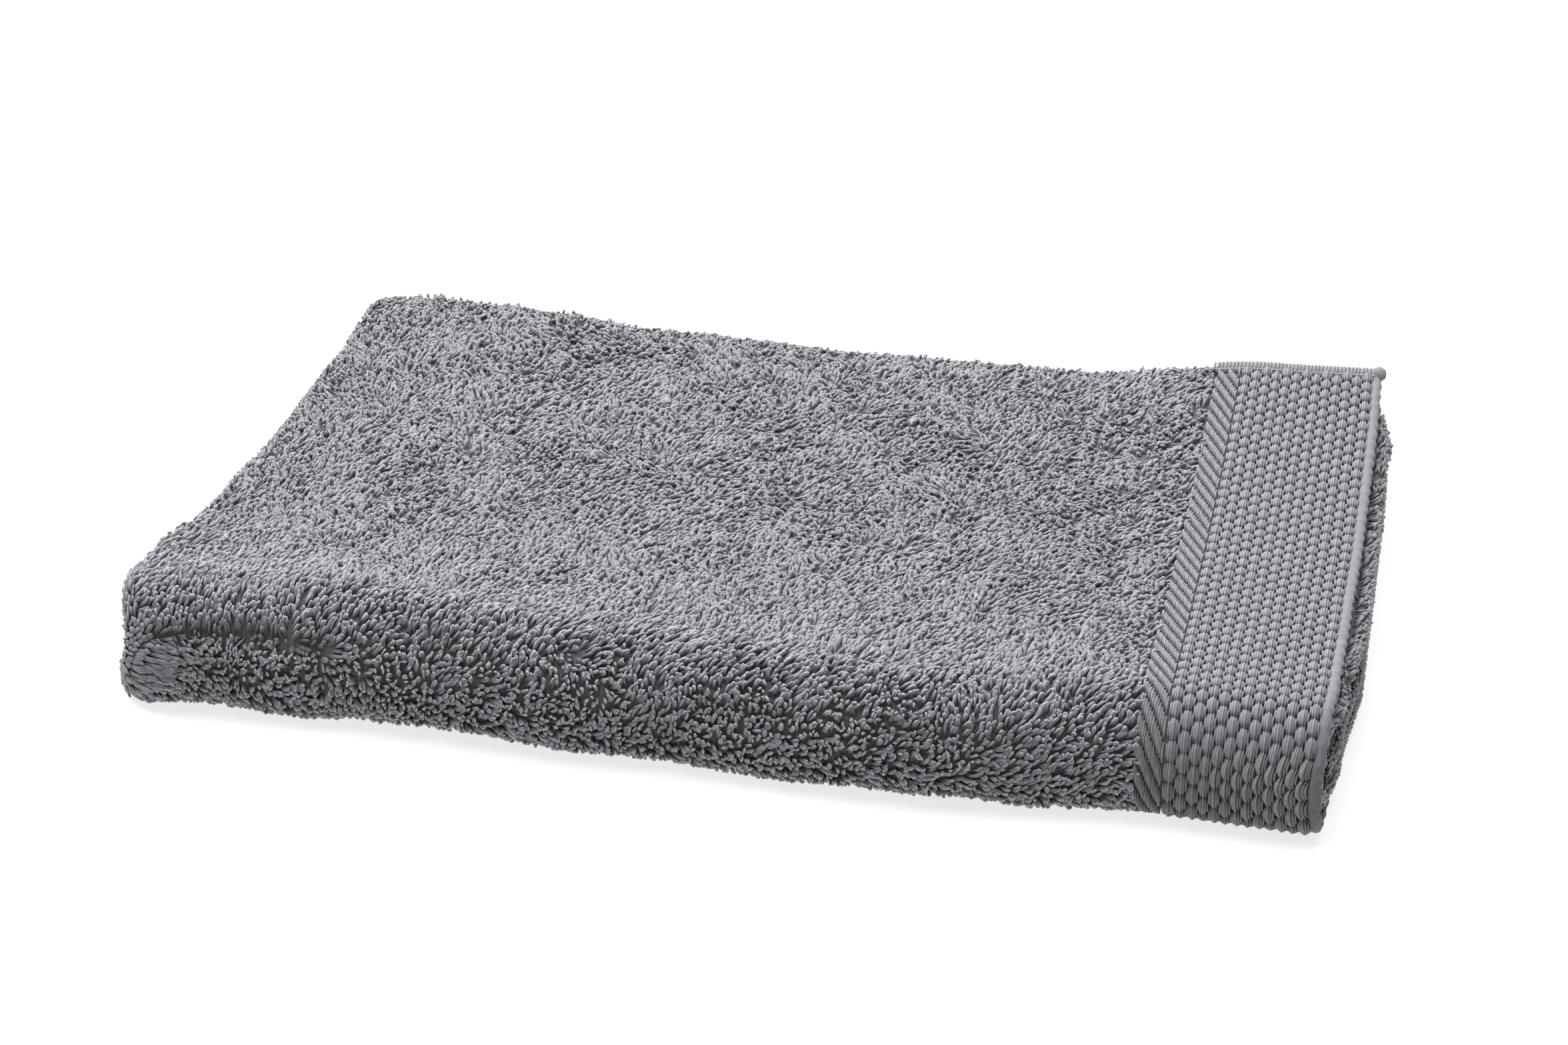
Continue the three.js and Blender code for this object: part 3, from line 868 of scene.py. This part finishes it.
def hemStrip(knots, rows, alongT, scallop):
    # a turned edge: a strip bent over the edge by its section, and its lining
    values = hemSizes
    rows = np.array(rows) / 1000
    row, knot, isTop, faces = doubleGrid(len(rows), len(knots))
    along = knots[knot]
    inward = rows[row, 0] + scallop * np.cos(along / honeycombSizes["cell"] * 2 * math.pi)
    inward = np.where(isTop, inward, np.maximum(inward + values["lining"], values["liningIn"]))
    lining = np.minimum(rows[row, 1] - values["liningDepth"], values["liningLow"])
    height = np.where(isTop, rows[row, 1], lining)
    if alongT:
        return np.stack([inward, along, height], axis=1), faces[:, ::-1]
    return np.stack([along, inward, height], axis=1), faces


def hemPlaces(values):
    return np.arange(values["start"], borderWidth + values["end"], values["step"])


def hemYarns(values, s):
    # a row of short yarns along the side hem
    t, half, top, sink = [np.full(s.size, values[key]) for key in ("t", "half", "top", "sink")]
    return layYarns(yarnFloat(3), s, t, half, top, sink, values["yarn"], values["alongT"])


def hems():
    # the end hem in its two stretches, the side hem, and the side hem's ribs and stitches
    random = np.random.default_rng(203)
    values = hemSizes
    frontKnots = np.arange(values["endStart"], borderStretches[0][1], values["endStep"])
    backKnots = np.arange(*borderStretches[1], values["endStep"])
    sideKnots = np.arange(values["sideStart"], borderWidth, values["sideStep"])
    ribs = hemPlaces(ribSizes)
    ribs = ribs + random.normal(0, ribSizes["off"], ribs.size)
    return {
        "endHemFront": hemStrip(frontKnots, values["endRows"], True, values["scallop"]),
        "endHemBack": hemStrip(backKnots, values["endRows"], True, values["scallop"]),
        "sideHem": hemStrip(sideKnots, values["sideRows"], False, 0),
        "hemRibs": hemYarns(ribSizes, ribs),
        "hemStitches": hemYarns(stitchSizes, hemPlaces(stitchSizes))}


knotSizes = {
    "lump": 0.10, "lumpSize": 0.45, "radii": (0.0036, 0.0042, 0.0024), "place": (0.0016, 0.0034, -0.0020),
}


def cornerKnot():
    # the thick corner where the two hems are turned over each other
    values = knotSizes
    bm = bmesh.new()
    bmesh.ops.create_icosphere(bm, subdivisions=3, radius=1)
    points, faces = meshArrays(bm)
    rough = noiseField(points[:, 0] + points[:, 2], points[:, 1] - points[:, 2], values["lumpSize"], 41)
    points = points * (1 + values["lump"] * rough)[:, None]
    return points * np.array(values["radii"]) + np.array(values["place"]), faces


borderPieces = [joinYarns("honeycomb", honeycomb(), borderYarn),
                joinYarns("twillBand", twillBand(), borderYarn),
                joinYarns("hemCorner", [cornerKnot()], shadedHemYarn)]
for name, part in hems().items():
    borderPieces.append(joinYarns(name, [part], shadedHemYarn if name.startswith("endHem") else borderYarn))
print("border ready")

# camera, light, floor
viewSizes = {"focal": 80.0, "sensor": 36, "yaw": -11.74, "pitch": 25.71, "place": (0.274, -1.325, 0.686)}
cameraData = bpy.data.cameras.new("camera")
cameraData.sensor_width = viewSizes["sensor"]
cameraData.lens = viewSizes["focal"]
camera = bpy.data.objects.new("camera", cameraData)
bpy.context.scene.collection.objects.link(camera)
yaw, pitchDown = math.radians(viewSizes["yaw"]), math.radians(viewSizes["pitch"])
ahead = math.cos(pitchDown)
sight = Vector((math.sin(yaw) * ahead, math.cos(yaw) * ahead, -math.sin(pitchDown)))
camera.location = viewSizes["place"]
camera.rotation_euler = sight.to_track_quat("-Z", "Y").to_euler()
bpy.context.scene.camera = camera

lightSizes = {
    "key": {"place": (-0.55, 0.75, 1.7), "size": 3.2, "power": 147},
    "fill": {"place": (0.5, -1.6, 1.2), "size": 1.6, "power": 2},
}


def makeLight(name, values):
    data = bpy.data.lights.new(name, "AREA")
    data.size = values["size"]
    data.energy = values["power"]
    lamp = bpy.data.objects.new(name, data)
    bpy.context.scene.collection.objects.link(lamp)
    lamp.location = values["place"]
    lamp.rotation_euler = (-Vector(values["place"])).to_track_quat("-Z", "Y").to_euler()


for lightName, values in lightSizes.items():
    makeLight(lightName, values)
roomSizes = {"light": 0.27, "floorHalf": 6, "floorShade": (0.30, 0.30, 0.30, 1), "floorGlow": 0.75}
white = (1, 1, 1, 1)
world = bpy.data.worlds.new("studio")
world.use_nodes = True
setInputs(world.node_tree.nodes["Background"], {"Color": white, "Strength": roomSizes["light"]})
bpy.context.scene.world = world
bpy.context.scene.view_settings.view_transform = "Standard"

bm = bmesh.new()
bmesh.ops.create_grid(bm, x_segments=1, y_segments=1, size=roomSizes["floorHalf"])
floorMesh = bpy.data.meshes.new("floor")
bm.to_mesh(floorMesh)
bm.free()
floor = bpy.data.objects.new("floor", floorMesh)
bpy.context.scene.collection.objects.link(floor)
floorFinish, nodes, links, shader = newMaterial("paleFloor")
setInputs(shader, {"Base Color": roomSizes["floorShade"], "Roughness": 0.9, "Emission Color": white,
                   "Emission Strength": roomSizes["floorGlow"]})
floorMesh.materials.append(floorFinish)
print("studio ready")

# every piece hangs on the root body, and the solid's towel is hidden
for piece in [bathSheet] + pilePieces:
    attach(piece, "root")
    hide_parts("towel")
for piece in borderPieces:
    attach(piece, "root")
    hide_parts("towel")
